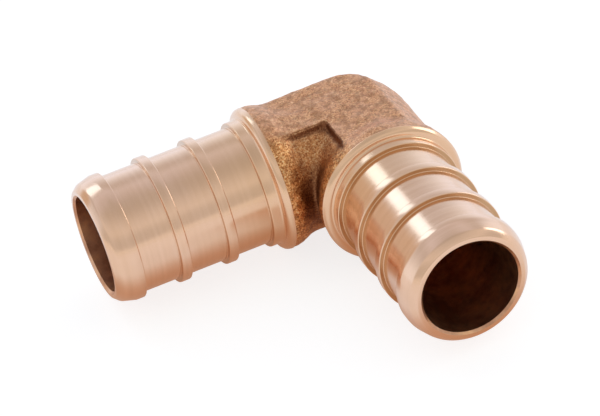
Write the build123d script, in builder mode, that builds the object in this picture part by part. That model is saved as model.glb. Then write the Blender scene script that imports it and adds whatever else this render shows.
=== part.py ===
from build123d import *
import math
import os

# 90 degree crimp elbow for 3/4 in PEX pipe: one brass forging, turned on both legs and drilled from both ends.
# Millimetres. The leg axes lie in the XY plane and cross at the origin; the legs point along +X and +Y.

# --- lengths along a leg ---
mouth_x = 37.6             # from the crossing of the axes to the flat end face
lip_length = 0.9           # rounded lip, back from the mouth
cone_length = 1.6          # lead-in cone behind the lip
barb_land = 1.2            # crest of the end barb behind the cone
barb_to_rib = 6.0          # back face of the barb to the middle of the outer rib
rib_pitch = 6.7
rib_width = 1.4
collar_front_x = 13.4      # turned face of the collar, from the crossing of the axes
shoulder_length = 1.9      # the pipe stops against the shoulder's front
collar_width = 1.5         # collar rim, back to where the forged flank starts down
flank_length = 2.7         # forged flank, down to the level of the pad

# --- radii of a leg, each from the one inside it ---
bore_radius = 6.65
barrel_wall = 1.47
crest_height = 0.63        # barb, ribs and shoulder stand this far above the barrel
cone_drop = 0.45           # fall of the lead-in cone from crest to lip
lip_wall = 0.85            # width of the flat end face
body_wall = 2.35
collar_height = 1.0        # collar above the forged body

# --- rounds and fillets of a leg ---
crest_round_share = 1 / 2.1    # crest edges and root fillets, of the crest height
cone_blend = 1.5
cone_end_round = 0.9
lip_round = 0.3
bore_edge_round = 0.3
collar_edge_share = 0.64   # round on the turned edge of the collar, of the collar's face
collar_root_share = 0.28   # fillet at the foot of that face
flank_round = 1.6

# --- forged body: a round section, flattened below and with a flat pad on top ---
flat_drop = 0.55           # the flats lie this far inside the round
pad_width = 8.9
pad_wall_draft = 8.0       # degrees, on the pad's wall in the crotch
pad_edge_round = 0.4       # less where the pad's wall is low
pad_edge_share = 0.7       # most of that wall's height that the round takes
flank_root_depth = 0.4     # how far the flank's cone starts below the pad

# --- drilling ---
drill_overrun = 2.6        # full diameter runs this far past the other leg's axis
drill_point_height = 4.0   # 118 degree drill point

cone_end_x = mouth_x - lip_length
barb_crest_front_x = cone_end_x - cone_length
barb_back_x = barb_crest_front_x - barb_land
outer_rib_x = barb_back_x - barb_to_rib
inner_rib_x = outer_rib_x - rib_pitch
shoulder_front_x = collar_front_x + shoulder_length
collar_back_x = collar_front_x - collar_width
flank_foot_x = collar_back_x - flank_length

barrel_radius = bore_radius + barrel_wall
crest_radius = barrel_radius + crest_height
crest_edge_round = crest_height * crest_round_share
root_fillet = crest_edge_round
cone_end_radius = crest_radius - cone_drop
lip_radius = bore_radius + lip_wall
body_radius = bore_radius + body_wall
collar_radius = body_radius + collar_height
collar_face = collar_radius - crest_radius
collar_edge_round = collar_face * collar_edge_share
collar_root_fillet = collar_face * collar_root_share
pad_height = body_radius - flat_drop
pad_wall_height = pad_height - math.sqrt(body_radius**2 - (pad_width / 2) ** 2)
pad_fillet = min(pad_edge_round, pad_wall_height * pad_edge_share)

leg_y_plane = Plane(origin=(0, 0, 0), x_dir=(0, 1, 0), z_dir=(0, 0, -1))
heel_to_crotch = Plane(origin=(0, 0, 0), z_dir=(1, -1, 0))
flank_slope = (collar_radius - pad_height) / (collar_back_x - flank_foot_x)
flank_start_x = flank_foot_x - flank_root_depth / flank_slope
pad_wall_spread = pad_height * math.tan(math.radians(pad_wall_draft))

with BuildPart() as crimp_elbow:
    # Body section, seen along the leg: a round flattened above and below. On top the flat widens into a pad,
    # which slopes off tangent to the round on the heel side and ends in a steep wall on the crotch side.
    with BuildSketch(Plane.YZ) as heel_section:
        Circle(body_radius)
        Rectangle(2 * body_radius, 2 * pad_height, mode=Mode.INTERSECT)
        Rectangle(pad_width, pad_height, align=(Align.CENTER, Align.MIN))
        make_hull()
        pad_edges = heel_section.vertices().filter_by(lambda v: abs(v.Y - pad_height) < 1e-5)
        fillet(pad_edges, pad_fillet)
        Rectangle(2 * body_radius, 2 * body_radius, align=(Align.MAX, Align.CENTER), mode=Mode.INTERSECT)
    extrude(amount=collar_back_x)
    revolve(heel_section.sketch, axis=Axis.Z, revolution_arc=-90)
    with BuildSketch(Plane.YZ) as crotch_section:
        Circle(body_radius)
        Rectangle(2 * body_radius, 2 * pad_height, mode=Mode.INTERSECT)
        with Locations((0, pad_height / 2)):
            Trapezoid(pad_width + 2 * pad_wall_spread, pad_height, 90 - pad_wall_draft)
        pad_edges = crotch_section.vertices().filter_by(lambda v: abs(v.Y - pad_height) < 1e-5)
        fillet(pad_edges, pad_fillet)
        Rectangle(2 * body_radius, 2 * body_radius, align=(Align.MIN, Align.CENTER), mode=Mode.INTERSECT)
    extrude(amount=collar_back_x)

    # One leg: forged flank and collar rim, then the turned shoulder, ribs, barb and lip.
    with BuildSketch() as leg_profile:
        outline = [
            (flank_start_x, 0),
            (flank_start_x, pad_height - flank_root_depth),
            (collar_back_x, collar_radius),
            (collar_front_x, collar_radius),
            (collar_front_x, crest_radius),
            (shoulder_front_x, crest_radius),
            (shoulder_front_x, barrel_radius),
        ]
        for rib_x in (inner_rib_x, outer_rib_x):
            outline.append((rib_x - rib_width / 2, barrel_radius))
            outline.append((rib_x - rib_width / 2, crest_radius))
            outline.append((rib_x + rib_width / 2, crest_radius))
            outline.append((rib_x + rib_width / 2, barrel_radius))
        outline.append((barb_back_x, barrel_radius))
        outline.append((barb_back_x, crest_radius))
        outline.append((barb_crest_front_x, crest_radius))
        outline.append((cone_end_x, cone_end_radius))
        outline.append((mouth_x, lip_radius))
        outline.append((mouth_x, 0))
        with BuildLine():
            Polyline(outline, close=True)
        make_face()
        corners = leg_profile.vertices()
        roots = corners.filter_by(lambda v: abs(v.Y - barrel_radius) < 1e-5)
        crests = corners.filter_by(lambda v: abs(v.Y - crest_radius) < 1e-5)
        crests = crests.filter_by(lambda v: v.X > collar_front_x + 1e-5 and v.X < barb_crest_front_x - 1e-5)
        fillet(roots, root_fillet)
        fillet(crests, crest_edge_round)
        for corner, radius in (
            ((collar_back_x, collar_radius), flank_round),
            ((collar_front_x, collar_radius), collar_edge_round),
            ((collar_front_x, crest_radius), collar_root_fillet),
            ((barb_crest_front_x, crest_radius), cone_blend),
            ((cone_end_x, cone_end_radius), cone_end_round),
            ((mouth_x, lip_radius), lip_round),
        ):
            fillet(leg_profile.vertices().sort_by_distance(corner)[0], radius)
    revolve(axis=Axis.X)
    mirror(about=heel_to_crotch)

    # Bores, each drilled past the other's axis so that they meet in full at the corner.
    for axis, plane in ((Axis.X, Plane.XY), (Axis.Y, leg_y_plane)):
        with BuildSketch(plane) as drill_profile:
            with BuildLine():
                Polyline(
                    (-drill_overrun - drill_point_height, 0),
                    (-drill_overrun, bore_radius),
                    (mouth_x - bore_edge_round, bore_radius),
                    (mouth_x, bore_radius + bore_edge_round),
                    (mouth_x, 0),
                    close=True,
                )
            make_face()
        revolve(axis=axis, mode=Mode.SUBTRACT)

crimp_elbow.part.label = "crimp_elbow"

os.makedirs("parts", exist_ok=True)
export_step(crimp_elbow.part, "parts/crimp_elbow.step")
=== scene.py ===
import math

import bpy
import numpy as np
from mathutils import Matrix, Vector


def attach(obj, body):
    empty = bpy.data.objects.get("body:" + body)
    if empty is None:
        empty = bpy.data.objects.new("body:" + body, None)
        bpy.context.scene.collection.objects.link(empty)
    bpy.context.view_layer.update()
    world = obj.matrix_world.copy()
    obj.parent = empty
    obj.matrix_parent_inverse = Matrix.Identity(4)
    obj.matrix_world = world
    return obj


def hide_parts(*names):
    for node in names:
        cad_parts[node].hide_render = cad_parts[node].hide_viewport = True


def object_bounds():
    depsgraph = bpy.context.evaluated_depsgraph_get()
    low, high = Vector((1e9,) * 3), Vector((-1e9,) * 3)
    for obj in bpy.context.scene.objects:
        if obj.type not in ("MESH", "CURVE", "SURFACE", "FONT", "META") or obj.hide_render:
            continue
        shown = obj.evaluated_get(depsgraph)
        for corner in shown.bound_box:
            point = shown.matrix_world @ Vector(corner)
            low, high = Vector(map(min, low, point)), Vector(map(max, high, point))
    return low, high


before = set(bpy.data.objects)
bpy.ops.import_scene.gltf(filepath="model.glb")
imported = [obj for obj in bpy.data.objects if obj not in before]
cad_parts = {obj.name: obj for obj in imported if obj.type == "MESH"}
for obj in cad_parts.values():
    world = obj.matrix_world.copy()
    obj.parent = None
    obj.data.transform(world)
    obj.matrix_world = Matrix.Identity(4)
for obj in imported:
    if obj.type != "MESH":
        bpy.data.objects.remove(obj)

# Visual model of a 90 degree brass crimp elbow. The forged corner is one blended surface with real grain, the
# two legs are turned profiles, and both are joined into one solid that is then drilled. Shape values are
# millimetres in the row frame: legs along +X and +Y, axes crossing at the origin.

cad_low, cad_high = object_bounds()
MM = 0.001

# --- stations along a leg ---
MOUTH = cad_high.x / MM
CONE_END = 36.8
BARB_CREST = 34.9
BARB_BACK = 33.75
OUTER_RIB = 27.9
INNER_RIB = 21.2
SHOULDER = 15.5
COLLAR_EDGE = 13.83
COLLAR_FOOT = 13.93
TURNED_FROM_X = 12.9       # the turning tool stops here, and the collar's rim behind it stays as forged
TURNED_FROM_Y = 13.2
COLLAR_BACK = 11.6
FLANK_FOOT = 8.8
RIB_WIDTH = 1.4

# --- radii ---
BORE_R = 6.65
BARREL_R = 8.12
CREST_R = 8.75
COLLAR_R = cad_high.z / MM
CONE_END_R = 8.22
LIP_R = 7.5

# --- turned outline ---
CREST_ROUND = 0.16
ROOT_ROUND = 0.09
COLLAR_ROUND = 0.9
COLLAR_FOOT_FILLET = 0.32
CONE_BLEND = 1.5
CONE_END_ROUND = 0.9
LIP_ROUND = 0.3
TURNED_R = COLLAR_R - 0.06
CUT_EDGE = 0.06            # ring left where the turning tool ran out, a little proud of the turned collar
CUT_R = COLLAR_R - 0.03
AFTER_CUT = 0.01           # the turned outline begins this far past the ring
STUB_FROM = 9.6            # the leg's stub inside the forging
HIDDEN_R = 7.6

# --- forged body ---
BODY_R = 9.0
PAD_HEIGHT = 8.45
PAD_HALF_WIDTH = 4.45
PAD_DRAFT = math.radians(8.0)
PAD_EDGE_ROUND = 0.4
STEP_FOOT_ROUND = 0.18
STEP_FOOT_Z = 7.65
CREASE_ROUND = 0.8         # where the two legs' inner walls meet
CREASE_FROM = PAD_HALF_WIDTH - 1.0
CREASE_FADE = 1.5          # the rounding grows over this distance, so that the flats stay flat
CREASE_LEAST = 0.02
FLANK_BLEND = 0.55
RIM_ROUND = 0.6
CUT_ROUND = 0.12           # edge left on the rim where the turning tool ran out
CROTCH_RELIEF = 1.034      # the inner side lies a little lower next to the pad
FORGED_RIM_R = 9.9

# --- drilling ---
DRILL_OVERRUN = 2.6
DRILL_POINT = 4.0
BORE_CHAMFER = 0.3
DRILL_CLEAR = 0.2          # the tool shape runs this far past the mouth

# --- mesh ---
CELL = 0.21                # grid spacing of the forged surface
GRID_MARGIN = 1.0
SETTLE_ROUNDS = 4
SLOPE_STEP = 0.02
ARC_STEP = math.radians(18.0)
LEG_SEGMENTS = 192
BORE_SEGMENTS = 160
SHARP_ANGLE = math.radians(38.0)

# --- where shade and a warm reflection are painted into the metal, and where it is more golden ---
# painted shade in the hollows: how closely the forging closes in on a point, sensed at these reaches
HOLLOW_SENSES = ((0.4, 1.0), (0.8, 1.0), (1.6, 0.5), (3.2, 0.25), (6.0, 0.25))    # reach and share
HOLLOW_FLOOR = 0.08
STEP_SHADE = 0.85           # painted shade: a dark line at the foot of the pad's steep walls
STEP_SHADE_OFFSET = 0.12
STEP_SHADE_SPREADS = ((0, 0.42, 0.75), (1, 0.16, 0.5))       # axis, width and band in height
# inner marks the crotch side; rim marks the flanks that the crotch body's painted shade leaves out
INNER_FADE = 1.5
RIM_FADE_FROM = FLANK_FOOT + 0.9
RIM_FADE = 1.2
WARM_REFLECTION_FROM = 27.0         # painted warm reflection of the forged corner, growing on the turned metal from here to the collar
WARM_REFLECTION_FULL = 14.0
# the painted dark reflection on faces turned to the mouth fades in over this length past the collar foot
STEP_SHADE_FADE = 0.4

# --- around the part ---
FLOOR_REACH = 4.0          # metres
LAMP_DISTANCE = 0.7        # metres
SHADE_FROM = 20.0
SHADE_FULL = 6.0


# ------------------------------------------------------------------ noise

def lattice_value(ix, iy, iz, seed):
    """A repeatable pseudo-random value from 0 to 1 for each lattice point."""
    h = (ix * 374761393 + iy * 668265263 + iz * 2147483647 + seed * 1274126177) & 0xFFFFFFFF
    h = ((h ^ (h >> 13)) * 1274126177) & 0xFFFFFFFF
    h = ((h ^ (h >> 16)) * 2246822519) & 0xFFFFFFFF
    return ((h ^ (h >> 15)) & 0xFFFFFF) / float(0xFFFFFF)


def value_noise(p, scale, seed):
    """Smooth noise from -1 to 1 with features about scale millimetres across."""
    q = p / scale
    base = np.floor(q).astype(np.int64)
    t = q - base
    t = t * t * (3.0 - 2.0 * t)
    total = np.zeros(len(p))
    for dx in (0, 1):
        for dy in (0, 1):
            for dz in (0, 1):
                weight = np.ones(len(p))
                for axis, d in enumerate((dx, dy, dz)):
                    weight = weight * (t[:, axis] if d else 1.0 - t[:, axis])
                total += weight * lattice_value(base[:, 0] + dx, base[:, 1] + dy, base[:, 2] + dz, seed)
    return total * 2.0 - 1.0


# ------------------------------------------------------------------ forged corner as a distance field

def smooth_max(a, b, k):
    h = np.maximum(k - np.abs(a - b), 0.0) / k
    return np.maximum(a, b) + h * h * k * 0.25


def smooth_min(a, b, k):
    return -smooth_max(-a, -b, k)


def heel_side(s, z):
    """Body section on the outer side: a flattened round with the pad's slope tangent to it."""
    pad_corner = math.hypot(PAD_HALF_WIDTH, PAD_HEIGHT)
    slope = math.atan2(PAD_HEIGHT, PAD_HALF_WIDTH) - math.acos(BODY_R / pad_corner)
    ns, nz = math.cos(slope), math.sin(slope)
    radial = np.hypot(s, z) - BODY_R
    line = s * ns + z * nz - BODY_R
    side = np.where(np.arctan2(z, s) > slope, line, radial)
    return smooth_max(smooth_max(side, z - PAD_HEIGHT, PAD_EDGE_ROUND), -z - PAD_HEIGHT, PAD_EDGE_ROUND)


def crotch_side(s, z):
    """Body section on the inner side: a flattened round with the pad's steep wall standing on it."""
    body = np.hypot(s, z * np.where(z > 0.0, CROTCH_RELIEF, 1.0)) - BODY_R
    body = smooth_max(body, np.abs(z) - PAD_HEIGHT, PAD_EDGE_ROUND)
    wall = (s - PAD_HALF_WIDTH) * math.cos(PAD_DRAFT) - (PAD_HEIGHT - z) * math.sin(PAD_DRAFT)
    pad = smooth_max(smooth_max(z - PAD_HEIGHT, wall, PAD_EDGE_ROUND), -z, PAD_EDGE_ROUND)
    return smooth_min(body, pad, STEP_FOOT_ROUND)


def flank(along, radius, turned_from):
    """The collar's forged flank and rim about one leg's axis."""
    slope = (COLLAR_R - PAD_HEIGHT) / (COLLAR_BACK - FLANK_FOOT)
    cone = (radius - PAD_HEIGHT - (along - FLANK_FOOT) * slope) / math.hypot(1.0, slope)
    rim = smooth_max(cone, radius - FORGED_RIM_R, RIM_ROUND)
    return smooth_max(rim, along - turned_from, CUT_ROUND)


def forging(p):
    """Distance-like field of the forged corner before its grain, negative inside."""
    x, y, z = p[:, 0], p[:, 1], p[:, 2]
    outer = np.hypot(np.minimum(x, 0.0), np.minimum(y, 0.0))
    outside = heel_side(outer, z)
    past_flats = np.clip((np.minimum(x, y) - CREASE_FROM) / CREASE_FADE, CREASE_LEAST, 1.0)
    crease = CREASE_ROUND * past_flats
    inside = smooth_min(crotch_side(np.maximum(y, 0.0), z), crotch_side(np.maximum(x, 0.0), z), crease)
    body = np.where((x > 0.0) & (y > 0.0), inside, outside)
    body = np.maximum(body, np.maximum(x, y) - COLLAR_BACK)
    body = smooth_min(body, flank(x, np.hypot(y, z), TURNED_FROM_X), FLANK_BLEND)
    return smooth_min(body, flank(y, np.hypot(x, z), TURNED_FROM_Y), FLANK_BLEND)


def grain(p):
    """Height of the blasted surface over the smooth forging."""
    lumps = 0.06 * value_noise(p, 2.4, 11) + 0.04 * value_noise(p, 1.2, 12)
    pits = 0.035 * value_noise(p, 0.6, 13) + 0.015 * value_noise(p, 0.35, 14)
    return lumps + pits


def surface_nets(field, low, high, cell):
    """Quads round the zero level of field on a regular grid."""
    counts = np.ceil((high - low) / cell).astype(int) + 1
    axes = [low[i] + cell * np.arange(counts[i]) for i in range(3)]
    values = np.empty(counts)
    for i, x in enumerate(axes[0]):
        yy, zz = np.meshgrid(axes[1], axes[2], indexing="ij")
        points = np.stack([np.full(yy.size, x), yy.ravel(), zz.ravel()], axis=1)
        values[i] = field(points).reshape(yy.shape)
    inside = values < 0.0
    cells = counts - 1
    total = np.zeros(cells)
    sums = np.zeros((*cells, 3))
    corner = [np.array(c) for c in np.ndindex(2, 2, 2)]
    for a in corner:
        for axis in range(3):
            if a[axis]:
                continue
            b = a.copy()
            b[axis] = 1
            sa = tuple(slice(a[i], a[i] + cells[i]) for i in range(3))
            sb = tuple(slice(b[i], b[i] + cells[i]) for i in range(3))
            crossing = inside[sa] != inside[sb]
            va, vb = values[sa], values[sb]
            t = np.where(crossing, va / np.where(crossing, va - vb, 1.0), 0.0)
            for i in range(3):
                sums[..., i] += crossing * (a[i] + (t if i == axis else 0.0))
            total += crossing
    used = total > 0
    index = np.full(cells, -1, np.int64)
    index[used] = np.arange(used.sum())
    place = np.stack(np.nonzero(used), axis=1)
    vertices = low + cell * (place + sums[used] / total[used][:, None])
    quads = []
    for axis in range(3):
        u, v = (axis + 1) % 3, (axis + 2) % 3
        sa = [slice(1, counts[i] - 1) for i in range(3)]
        sb = [slice(1, counts[i] - 1) for i in range(3)]
        sa[axis] = slice(0, cells[axis])
        sb[axis] = slice(1, counts[axis])
        first, second = inside[tuple(sa)], inside[tuple(sb)]
        for mask, flip in ((first & ~second, False), (~first & second, True)):
            at = np.stack(np.nonzero(mask), axis=1)
            at[:, u] += 1
            at[:, v] += 1
            ring = []
            for du, dv in ((-1, -1), (0, -1), (0, 0), (-1, 0)):
                c = at.copy()
                c[:, u] += du
                c[:, v] += dv
                ring.append(index[c[:, 0], c[:, 1], c[:, 2]])
            quad = np.stack(ring, axis=1)
            quads.append(quad[:, ::-1] if flip else quad)
    return vertices, np.concatenate(quads)


def settle(p, field):
    """Moves points along the field's slope on to its zero level."""
    for _ in range(SETTLE_ROUNDS):
        slope = np.empty_like(p)
        for axis in range(3):
            d = np.zeros(3)
            d[axis] = SLOPE_STEP
            slope[:, axis] = (field(p + d) - field(p - d)) / (2.0 * SLOPE_STEP)
        length = np.maximum((slope * slope).sum(axis=1), 0.05)
        move = -slope * (field(p) / length)[:, None]
        reach = np.linalg.norm(move, axis=1)
        p = p + move * np.minimum(1.0, 0.5 * CELL / np.maximum(reach, 1e-9))[:, None]
    return p


def mesh_object(name, vertices, faces, material_index):
    mesh = bpy.data.meshes.new(name)
    mesh.from_pydata((np.asarray(vertices) * MM).tolist(), [], [list(f) for f in faces])
    mesh.polygons.foreach_set("material_index", [material_index] * len(mesh.polygons))
    mesh.update()
    thing = bpy.data.objects.new(name, mesh)
    bpy.context.scene.collection.objects.link(thing)
    return thing


# ------------------------------------------------------------------ turned legs and bores as profiles

def rounded(points):
    """A polyline of (along, radius) with each (along, radius, round) corner turned into an arc."""
    made = []
    for i, corner in enumerate(points):
        p = np.array(corner[:2], float)
        if len(corner) < 3:
            made.append(p)
            continue
        before = np.array(points[i - 1][:2], float) - p
        after = np.array(points[i + 1][:2], float) - p
        before /= np.linalg.norm(before)
        after /= np.linalg.norm(after)
        turn = math.pi - math.acos(max(-1.0, min(1.0, float(before @ after))))
        reach = corner[2] * math.tan(turn / 2.0)
        middle = p + (before + after) / np.linalg.norm(before + after) * corner[2] / math.cos(turn / 2.0)
        start, end = p + before * reach - middle, p + after * reach - middle
        pieces = max(2, math.ceil(turn / ARC_STEP))
        for k in range(pieces + 1):
            a = k / pieces
            s = math.sin(turn)
            made.append(middle + start * math.sin((1.0 - a) * turn) / s + end * math.sin(a * turn) / s)
    return made


def lathe(name, profile, axis, segments, material_index):
    """A closed solid of revolution about a leg's axis; the profile's two ends lie on the axis."""
    inner = profile[1:-1]
    turn = np.linspace(0.0, 2.0 * math.pi, segments, endpoint=False)
    rows = []
    for along, radius in inner:
        ring = [np.full(segments, along), radius * np.cos(turn), radius * np.sin(turn)]
        rows.append(np.stack(ring, axis=1))
    vertices = np.concatenate([*rows, [[profile[0][0], 0.0, 0.0]], [[profile[-1][0], 0.0, 0.0]]])
    faces = []
    for row in range(len(inner) - 1):
        for k in range(segments):
            a, b = row * segments + k, row * segments + (k + 1) % segments
            faces.append((a, b, b + segments, a + segments))
    first, last = len(vertices) - 2, len(vertices) - 1
    end = (len(inner) - 1) * segments
    for k in range(segments):
        after = (k + 1) % segments
        faces.append((first, after, k))
        faces.append((last, end + k, end + after))
    if axis == "Y":
        vertices = vertices[:, (1, 0, 2)]
        faces = [f[::-1] for f in faces]
    return mesh_object(name, vertices, faces, material_index)


def leg_profile(turned_from):
    """Outline of a turned leg from its stub inside the forging to the mouth."""
    outline = [
        (STUB_FROM, TURNED_R),
        (COLLAR_EDGE, TURNED_R, COLLAR_ROUND),
        (COLLAR_FOOT, CREST_R, COLLAR_FOOT_FILLET),
        (SHOULDER, CREST_R, CREST_ROUND),
        (SHOULDER, BARREL_R, ROOT_ROUND),
    ]
    for rib in (INNER_RIB, OUTER_RIB):
        outline += [
            (rib - RIB_WIDTH / 2, BARREL_R, ROOT_ROUND),
            (rib - RIB_WIDTH / 2, CREST_R, CREST_ROUND),
            (rib + RIB_WIDTH / 2, CREST_R, CREST_ROUND),
            (rib + RIB_WIDTH / 2, BARREL_R, ROOT_ROUND),
        ]
    outline += [
        (BARB_BACK, BARREL_R, ROOT_ROUND),
        (BARB_BACK, CREST_R, CREST_ROUND),
        (BARB_CREST, CREST_R, CONE_BLEND),
        (CONE_END, CONE_END_R, CONE_END_ROUND),
        (MOUTH, LIP_R, LIP_ROUND),
        (MOUTH, 0.0),
    ]
    cut = turned_from - CUT_EDGE
    stub = [(STUB_FROM, 0.0), (STUB_FROM, HIDDEN_R), (cut, HIDDEN_R), (cut, CUT_R), (turned_from, CUT_R)]
    return [np.array(p) for p in stub] + [p for p in rounded(outline) if p[0] > turned_from + AFTER_CUT]


drill_profile = [
    (-DRILL_OVERRUN - DRILL_POINT, 0.0),
    (-DRILL_OVERRUN, BORE_R),
    (MOUTH - BORE_CHAMFER, BORE_R),
    (MOUTH + DRILL_CLEAR, BORE_R + BORE_CHAMFER + DRILL_CLEAR),
    (MOUTH + DRILL_CLEAR, 0.0),
]

grid_low = np.array([-BODY_R - GRID_MARGIN, -BODY_R - GRID_MARGIN, -COLLAR_R - GRID_MARGIN])
grid_high = np.array([TURNED_FROM_X + GRID_MARGIN, TURNED_FROM_Y + GRID_MARGIN, COLLAR_R + GRID_MARGIN])
grid_vertices, grid_faces = surface_nets(forging, grid_low, grid_high, CELL)
grained = settle(grid_vertices, lambda p: forging(p) - grain(p))

FORGED, TURNED_X, TURNED_Y, DRILLED = 0, 1, 2, 3
elbow = mesh_object("elbow", grained, grid_faces, FORGED)
tools = [
    ("UNION", lathe("leg_x", leg_profile(TURNED_FROM_X), "X", LEG_SEGMENTS, TURNED_X)),
    ("UNION", lathe("leg_y", leg_profile(TURNED_FROM_Y), "Y", LEG_SEGMENTS, TURNED_Y)),
    ("DIFFERENCE", lathe("drill_x", drill_profile, "X", BORE_SEGMENTS, DRILLED)),
    ("DIFFERENCE", lathe("drill_y", drill_profile, "Y", BORE_SEGMENTS, DRILLED)),
]


# ------------------------------------------------------------------ node helpers

def new_material(name):
    material = bpy.data.materials.new(name)
    material.use_nodes = True
    tree = material.node_tree
    return material, tree, tree.nodes["Principled BSDF"]


def node(tree, kind, **settings):
    made = tree.nodes.new(kind)
    for key, value in settings.items():
        if key in made.inputs:
            made.inputs[key].default_value = value
        else:
            setattr(made, key, value)
    return made


def wire(tree, *pairs):
    for source, target in pairs:
        tree.links.new(source, target)


def math_node(tree, operation, a, b=None, c=None):
    made = tree.nodes.new("ShaderNodeMath")
    made.operation = operation
    for socket, value in zip(made.inputs, (a, b, c)):
        if value is None:
            continue
        if isinstance(value, (int, float)):
            socket.default_value = value
        else:
            tree.links.new(value, socket)
    return made.outputs[0]


def ramp(tree, factor, stops):
    made = tree.nodes.new("ShaderNodeValToRGB")
    elements = made.color_ramp.elements
    while len(elements) < len(stops):
        elements.new(0.5)
    for element, (place, colour) in zip(elements, stops):
        element.position = place
        element.color = (*colour, 1.0) if isinstance(colour, tuple) else (colour, colour, colour, 1.0)
    tree.links.new(factor, made.inputs[0])
    return made.outputs[0]


def mix_colour(tree, factor, a, b):
    made = tree.nodes.new("ShaderNodeMix")
    made.data_type = "RGBA"
    for socket, value in ((made.inputs[0], factor), (made.inputs[6], a), (made.inputs[7], b)):
        if isinstance(value, tuple):
            socket.default_value = (*value, 1.0)
        elif isinstance(value, (int, float)):
            socket.default_value = value
        else:
            tree.links.new(value, socket)
    return made.outputs[2]


def millimetres(tree):
    """Object coordinates in millimetres."""
    place = node(tree, "ShaderNodeTexCoord")
    scaled = node(tree, "ShaderNodeVectorMath", operation="SCALE", Scale=1.0 / MM)
    wire(tree, (place.outputs["Object"], scaled.inputs[0]))
    return scaled.outputs[0]


def noise(tree, coords, scale, detail=2.0, roughness=0.5, stretch=None):
    if stretch:
        stretched = node(tree, "ShaderNodeVectorMath", operation="MULTIPLY")
        stretched.inputs[1].default_value = stretch
        wire(tree, (coords, stretched.inputs[0]))
        coords = stretched.outputs[0]
    made = node(tree, "ShaderNodeTexNoise", Scale=scale, Detail=detail, Roughness=roughness)
    wire(tree, (coords, made.inputs["Vector"]))
    return made.outputs["Fac"]


# ------------------------------------------------------------------ materials

def forged_material():
    """Blasted forging: rosy and dusty outside, golden and coarser in the crotch, with painted brown shade in
    the hollows, at the foot of the pad's walls and over the crotch body.
    """
    material, tree, shader = new_material("brass_forged")
    coords = millimetres(tree)
    speckle = noise(tree, coords, 4.2, 3.0, 0.7)
    clump = noise(tree, coords, 1.1, 2.0, 0.5)
    blotch = noise(tree, coords, 0.33, 3.0, 0.55)
    grit = noise(tree, coords, 5.0, 2.0, 0.6)
    hollow_shade = node(tree, "ShaderNodeAttribute", attribute_name="hollow_shade").outputs["Fac"]
    inner = node(tree, "ShaderNodeAttribute", attribute_name="inner").outputs["Fac"]
    rim = node(tree, "ShaderNodeAttribute", attribute_name="rim").outputs["Fac"]
    dusty = ramp(tree, speckle, [(0.32, (0.36, 0.14, 0.06)), (0.46, (0.66, 0.30, 0.145)),
                                 (0.56, (0.84, 0.44, 0.21)), (0.70, (1.0, 0.70, 0.40))])
    dusty = mix_colour(tree, ramp(tree, blotch, [(0.40, 0.0), (0.64, 0.45)]), dusty, (0.76, 0.42, 0.26))
    golden = ramp(tree, speckle, [(0.33, (0.20, 0.06, 0.02)), (0.46, (0.60, 0.23, 0.075)),
                                  (0.55, (0.95, 0.47, 0.17)), (0.66, (1.0, 0.80, 0.44))])
    base = mix_colour(tree, inner, dusty, golden)
    base = mix_colour(tree, ramp(tree, clump, [(0.36, 0.5), (0.55, 0.0)]), base, (0.30, 0.13, 0.05))
    # painted shade over the crotch body, kept off the flanks
    body = math_node(tree, "MULTIPLY", inner, math_node(tree, "SUBTRACT", 1.0, rim))
    base = mix_colour(tree, math_node(tree, "MULTIPLY", body, 0.4), base, (0.30, 0.10, 0.04))
    # painted shade: the hollows and the foot of the pad's walls turn dark brown
    shade_share = ramp(tree, math_node(tree, "ADD", hollow_shade, math_node(tree, "MULTIPLY", blotch, 0.2)),
                [(0.38, 0.0), (1.0, 0.85)])
    shade_colour = ramp(tree, speckle, [(0.35, (0.07, 0.022, 0.009)), (0.65, (0.32, 0.12, 0.05))])
    wire(tree, (mix_colour(tree, shade_share, base, shade_colour), shader.inputs["Base Color"]))
    wire(tree, (ramp(tree, grit, [(0.35, 0.28), (0.65, 0.46)]), shader.inputs["Roughness"]))
    bump = node(tree, "ShaderNodeBump", Strength=1.0, Distance=0.00007)
    relief = math_node(tree, "ADD", math_node(tree, "MULTIPLY", speckle, 0.8), grit)
    wire(tree, (relief, bump.inputs["Height"]), (bump.outputs[0], shader.inputs["Normal"]))
    shader.inputs["Metallic"].default_value = 1.0
    shader.inputs["Coat Weight"].default_value = 0.1
    shader.inputs["Coat Roughness"].default_value = 0.3
    return material


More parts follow.
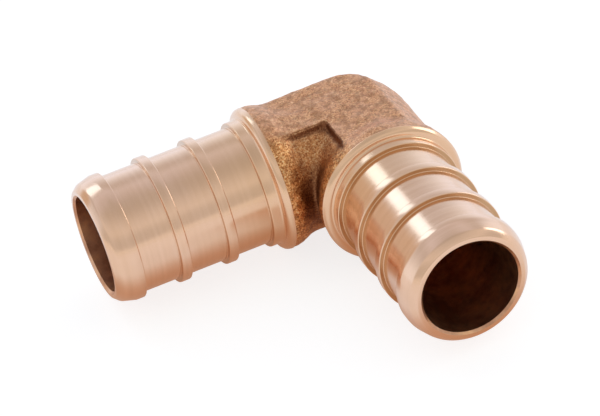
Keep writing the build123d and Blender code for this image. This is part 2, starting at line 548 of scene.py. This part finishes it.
def turned_material(name, axis):
    """Bright turned metal with tooling lines round the leg's axis, a painted warm reflection toward the
    collar and a painted dark reflection on the faces turned to the mouth.
    """
    material, tree, shader = new_material(name)
    coords = millimetres(tree)
    along = {"X": (1.0, 0.02, 0.02), "Y": (0.02, 1.0, 0.02)}[axis]
    lines = noise(tree, coords, 7.0, 3.0, 0.7, along)
    bands = noise(tree, coords, 1.3, 2.0, 0.5, along)
    stain = noise(tree, coords, 0.22, 3.0, 0.55)
    tint = ramp(tree, bands, [(0.35, (0.84, 0.54, 0.36)), (0.65, (0.89, 0.585, 0.40))])
    tint = mix_colour(tree, ramp(tree, stain, [(0.42, 0.0), (0.68, 0.4)]), tint, (0.84, 0.52, 0.31))
    distance = node(tree, "ShaderNodeSeparateXYZ")
    wire(tree, (coords, distance.inputs[0]))
    # painted warm reflection of the forged corner, stronger toward the collar
    near = node(tree, "ShaderNodeMapRange", interpolation_type="SMOOTHSTEP")
    near.inputs["From Min"].default_value = WARM_REFLECTION_FROM
    near.inputs["From Max"].default_value = WARM_REFLECTION_FULL
    near.inputs["To Max"].default_value = 0.42
    wire(tree, (distance.outputs[axis], near.inputs["Value"]))
    tint = mix_colour(tree, near.outputs["Result"], tint, (0.84, 0.525, 0.28))
    # painted dark reflection: faces turned to the mouth, from the collar foot to the barb, take a dark
    # olive-brown
    facing = node(tree, "ShaderNodeSeparateXYZ")
    wire(tree, (node(tree, "ShaderNodeTexCoord").outputs["Normal"], facing.inputs[0]))
    step_face_shade = ramp(tree, facing.outputs[axis], [(0.80, 0.0), (0.95, 1.0)])
    past_collar = ramp(tree, math_node(tree, "MULTIPLY", distance.outputs[axis], 1.0 / MOUTH),
                       [(COLLAR_FOOT / MOUTH, 0.0), ((COLLAR_FOOT + STEP_SHADE_FADE) / MOUTH, 1.0),
                        (BARB_CREST / MOUTH, 1.0), (CONE_END / MOUTH, 0.0)])
    tint = mix_colour(tree, math_node(tree, "MULTIPLY", step_face_shade, past_collar), tint, (0.60, 0.35, 0.17))
    wire(tree, (tint, shader.inputs["Base Color"]))
    wire(tree, (ramp(tree, bands, [(0.3, 0.16), (0.7, 0.22)]), shader.inputs["Roughness"]))
    bump = node(tree, "ShaderNodeBump", Strength=0.25, Distance=0.00001)
    wire(tree, (lines, bump.inputs["Height"]), (bump.outputs[0], shader.inputs["Normal"]))
    shader.inputs["Metallic"].default_value = 1.0
    shader.inputs["Coat Weight"].default_value = 0.8
    shader.inputs["Coat Roughness"].default_value = 0.16
    return material


def drilled_material():
    """Dull stained metal inside the bores."""
    material, tree, shader = new_material("brass_drilled")
    coords = millimetres(tree)
    stain = noise(tree, coords, 0.3, 4.0, 0.6)
    tint = ramp(tree, stain, [(0.38, (0.50, 0.25, 0.14)), (0.50, (0.66, 0.36, 0.21)),
                              (0.66, (0.88, 0.50, 0.26))])
    wire(tree, (tint, shader.inputs["Base Color"]))
    shader.inputs["Roughness"].default_value = 0.36
    shader.inputs["Metallic"].default_value = 1.0
    shader.inputs["Coat Weight"].default_value = 0.3
    return material


materials = [
    forged_material(),
    turned_material("brass_turned_x", "X"),
    turned_material("brass_turned_y", "Y"),
    drilled_material(),
]
for thing in [elbow] + [tool for _, tool in tools]:
    for material in materials:
        thing.data.materials.append(material)

# ------------------------------------------------------------------ one solid, drilled

for operation, tool in tools:
    cut = elbow.modifiers.new("join", "BOOLEAN")
    cut.operation = operation
    cut.object = tool
    cut.solver = "MANIFOLD"
bpy.context.view_layer.update()
joined = bpy.data.meshes.new_from_object(elbow.evaluated_get(bpy.context.evaluated_depsgraph_get()))
elbow.modifiers.clear()
elbow.data = joined
for _, tool in tools:
    bpy.data.objects.remove(tool)

points = np.empty(len(joined.vertices) * 3)
joined.vertices.foreach_get("co", points)
points = points.reshape(-1, 3) / MM
normals = np.empty(len(joined.vertices) * 3)
joined.vertices.foreach_get("normal", normals)
normals = normals.reshape(-1, 3)
# painted shade: how closely the forging closes in on each point, plus a painted dark line along the foot of
# the pad's steep walls
blocked = np.zeros(len(points))
for reach, share in HOLLOW_SENSES:
    blocked += np.clip((reach - forging(points + normals * reach)) / reach, 0.0, 1.0) * share
inset = points - PAD_HALF_WIDTH
least_inset = inset[:, :2].min(axis=1)
# painted shade along the foot of the pad's walls
for axis, width, band in STEP_SHADE_SPREADS:
    near_foot = (least_inset > -0.5) & (np.abs(points[:, 2] - STEP_FOOT_Z) < band)
    blocked += near_foot * STEP_SHADE * np.exp(-((inset[:, axis] - STEP_SHADE_OFFSET) / width) ** 2)
on_leg_y = points[:, 1] > points[:, 0]
# inner: the crotch side, golden in tone and under the body's painted shade; rim: the flanks, and part of leg
# Y's body, kept out of that painted shade
shades = {
    "hollow_shade": blocked - HOLLOW_FLOOR,
    "inner": least_inset / INNER_FADE + 0.3,
    "rim": (points[:, :2].max(axis=1) - RIM_FADE_FROM) / RIM_FADE + 0.4 * on_leg_y,
}
for name, values in shades.items():
    layer = joined.attributes.new(name, "FLOAT", "POINT")
    layer.data.foreach_set("value", np.clip(values, 0.0, 1.0))
joined.polygons.foreach_set("use_smooth", [True] * len(joined.polygons))
joined.set_sharp_from_angle(angle=SHARP_ANGLE)
even = elbow.modifiers.new("even_normals", "WEIGHTED_NORMAL")
even.keep_sharp = True

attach(elbow, "root")
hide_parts("crimp_elbow")

# ------------------------------------------------------------------ floor, light and camera

def beside_legs(tree, coords):
    """1 on the floor under the legs, falling to 0 away from them: the warm shade that the metal mirrors."""
    split = node(tree, "ShaderNodeSeparateXYZ")
    wire(tree, (coords, split.inputs[0]))
    reaches = []
    for along, across in (("X", "Y"), ("Y", "X")):
        past = math_node(tree, "SUBTRACT", split.outputs[along], MOUTH)
        before = math_node(tree, "MULTIPLY", split.outputs[along], -1.0)
        beyond = math_node(tree, "MAXIMUM", math_node(tree, "MAXIMUM", past, before), 0.0)
        squared = math_node(tree, "POWER", math_node(tree, "ABSOLUTE", split.outputs[across]), 2.0)
        reaches.append(math_node(tree, "SQRT", math_node(tree, "MULTIPLY_ADD", beyond, beyond, squared)))
    fade = node(tree, "ShaderNodeMapRange", interpolation_type="SMOOTHSTEP")
    for key, value in (("From Min", SHADE_FROM), ("From Max", SHADE_FULL)):
        fade.inputs[key].default_value = value
    wire(tree, (math_node(tree, "MINIMUM", *reaches), fade.inputs["Value"]))
    return fade.outputs["Result"]


def floor():
    """A white bench under the part."""
    mesh = bpy.data.meshes.new("floor")
    corners = [(-1, -1), (1, -1), (1, 1), (-1, 1)]
    mesh.from_pydata([(x * FLOOR_REACH, y * FLOOR_REACH, cad_low.z) for x, y in corners], [], [(0, 1, 2, 3)])
    plane = bpy.data.objects.new("floor", mesh)
    bpy.context.scene.collection.objects.link(plane)
    material = bpy.data.materials.new("floor_white")
    material.use_nodes = True
    tree = material.node_tree
    tree.nodes.clear()
    near = beside_legs(tree, millimetres(tree))
    path = node(tree, "ShaderNodeLightPath")
    mirrored = math_node(tree, "MAXIMUM", path.outputs["Is Glossy Ray"], path.outputs["Is Transmission Ray"])
    # painted warm shade under the legs: every ray but the camera's sees the floor darker and warmer near the
    # legs, and the metal mirrors it
    grey = mix_colour(tree, near, (0.64, 0.64, 0.64), (0.50, 0.38, 0.30))
    grey = mix_colour(tree, path.outputs["Is Camera Ray"], grey, (0.36, 0.36, 0.36))
    shown = mix_colour(tree, near, (0.42, 0.42, 0.44), (0.30, 0.18, 0.12))
    shown = mix_colour(tree, path.outputs["Is Camera Ray"], shown, (0.78, 0.78, 0.78))
    diffuse = node(tree, "ShaderNodeBsdfDiffuse")
    glow = node(tree, "ShaderNodeEmission")
    both = node(tree, "ShaderNodeAddShader")
    out = node(tree, "ShaderNodeOutputMaterial")
    wire(tree, (grey, diffuse.inputs["Color"]), (shown, glow.inputs["Color"]),
         (math_node(tree, "MAXIMUM", mirrored, path.outputs["Is Camera Ray"]), glow.inputs["Strength"]),
         (diffuse.outputs[0], both.inputs[0]), (glow.outputs[0], both.inputs[1]),
         (both.outputs[0], out.inputs["Surface"]))
    mesh.materials.append(material)


def studio_world():
    """A pale room, brightest near the horizon and darkest overhead, cooler on the -Y side, where one low
    patch is dim and warm."""
    world = bpy.data.worlds.new("studio")
    bpy.context.scene.world = world
    world.use_nodes = True
    tree = world.node_tree
    tree.nodes.clear()
    direction = node(tree, "ShaderNodeTexCoord")
    split = node(tree, "ShaderNodeSeparateXYZ")
    wire(tree, (direction.outputs["Generated"], split.inputs[0]))
    height = split.outputs["Z"]
    front = ramp(tree, height, [(0.0, 0.90), (0.12, 0.88), (0.16, 0.64), (0.42, 0.66), (0.60, 0.80),
                                (0.80, 0.70), (0.93, 0.58), (1.0, 0.54)])
    back = ramp(tree, height, [(0.0, (1.0, 1.1, 1.28)), (0.25, (0.97, 1.07, 1.25)),
                               (0.45, (0.78, 0.84, 0.95)), (0.62, (0.64, 0.65, 0.70)),
                               (0.70, (0.62, 0.63, 0.67)), (0.85, (0.74, 0.77, 0.88)),
                               (0.95, (0.64, 0.65, 0.71)), (1.0, 0.54)])
    side = node(tree, "ShaderNodeMapRange", interpolation_type="SMOOTHSTEP")
    for key, value in (("From Min", -0.2), ("From Max", 0.2)):
        side.inputs[key].default_value = value
    wire(tree, (split.outputs["Y"], side.inputs["Value"]))
    room = mix_colour(tree, side.outputs["Result"], back, front)
    towards = node(tree, "ShaderNodeVectorMath", operation="DOT_PRODUCT")
    towards.inputs[1].default_value = Vector((0.58, -0.777, 0.25)).normalized()
    wire(tree, (direction.outputs["Generated"], towards.inputs[0]))
    dim_patch = ramp(tree, towards.outputs["Value"], [(0.94, 0.0), (0.985, 1.0)])
    room = mix_colour(tree, dim_patch, room, (0.68, 0.58, 0.49))
    path = node(tree, "ShaderNodeLightPath")
    shown = mix_colour(tree, path.outputs["Is Camera Ray"], room, (1.0, 1.0, 1.0))
    background = node(tree, "ShaderNodeBackground")
    out = node(tree, "ShaderNodeOutputWorld")
    wire(tree, (shown, background.inputs["Color"]), (background.outputs[0], out.inputs["Surface"]))


def softbox(name, direction, width, height, radiance, colour):
    """A rectangular lamp facing the part, bright enough to read as a white panel in the metal."""
    lamp = bpy.data.lights.new(name, "AREA")
    lamp.shape = "RECTANGLE"
    lamp.size, lamp.size_y = width, height
    lamp.energy = radiance * math.pi * width * height
    lamp.color = colour
    thing = bpy.data.objects.new(name, lamp)
    bpy.context.scene.collection.objects.link(thing)
    at = Vector(direction).normalized() * LAMP_DISTANCE
    thing.location = at
    thing.rotation_mode = "QUATERNION"
    thing.rotation_quaternion = at.to_track_quat("Z", "Y")
    thing.visible_camera = False


def camera():
    """A long lens 36 degrees above the bench, looking into the angle of the legs."""
    data = bpy.data.cameras.new("camera")
    data.sensor_width = 36.0
    data.lens = 230.1
    thing = bpy.data.objects.new("camera", data)
    bpy.context.scene.collection.objects.link(thing)
    back = Vector((0.225133, 0.777370, 0.587377))
    up = Vector((-0.356394, -0.495373, 0.792206))
    right = up.cross(back)
    turn = Matrix((right, up, back)).transposed().to_4x4()
    thing.matrix_world = Matrix.Translation(Vector((0.1245925, 0.3992587, 0.2949429))) @ turn
    bpy.context.scene.camera = thing


floor()
studio_world()
softbox("panel_left", (0.26, -0.76, 0.60), 0.19, 0.26, 1.2, (0.72, 1.0, 1.3))
softbox("panel_right", (-0.92, -0.05, 0.36), 0.30, 0.34, 1.7, (0.95, 1.0, 1.05))
camera()
bpy.context.scene.view_settings.view_transform = "Standard"
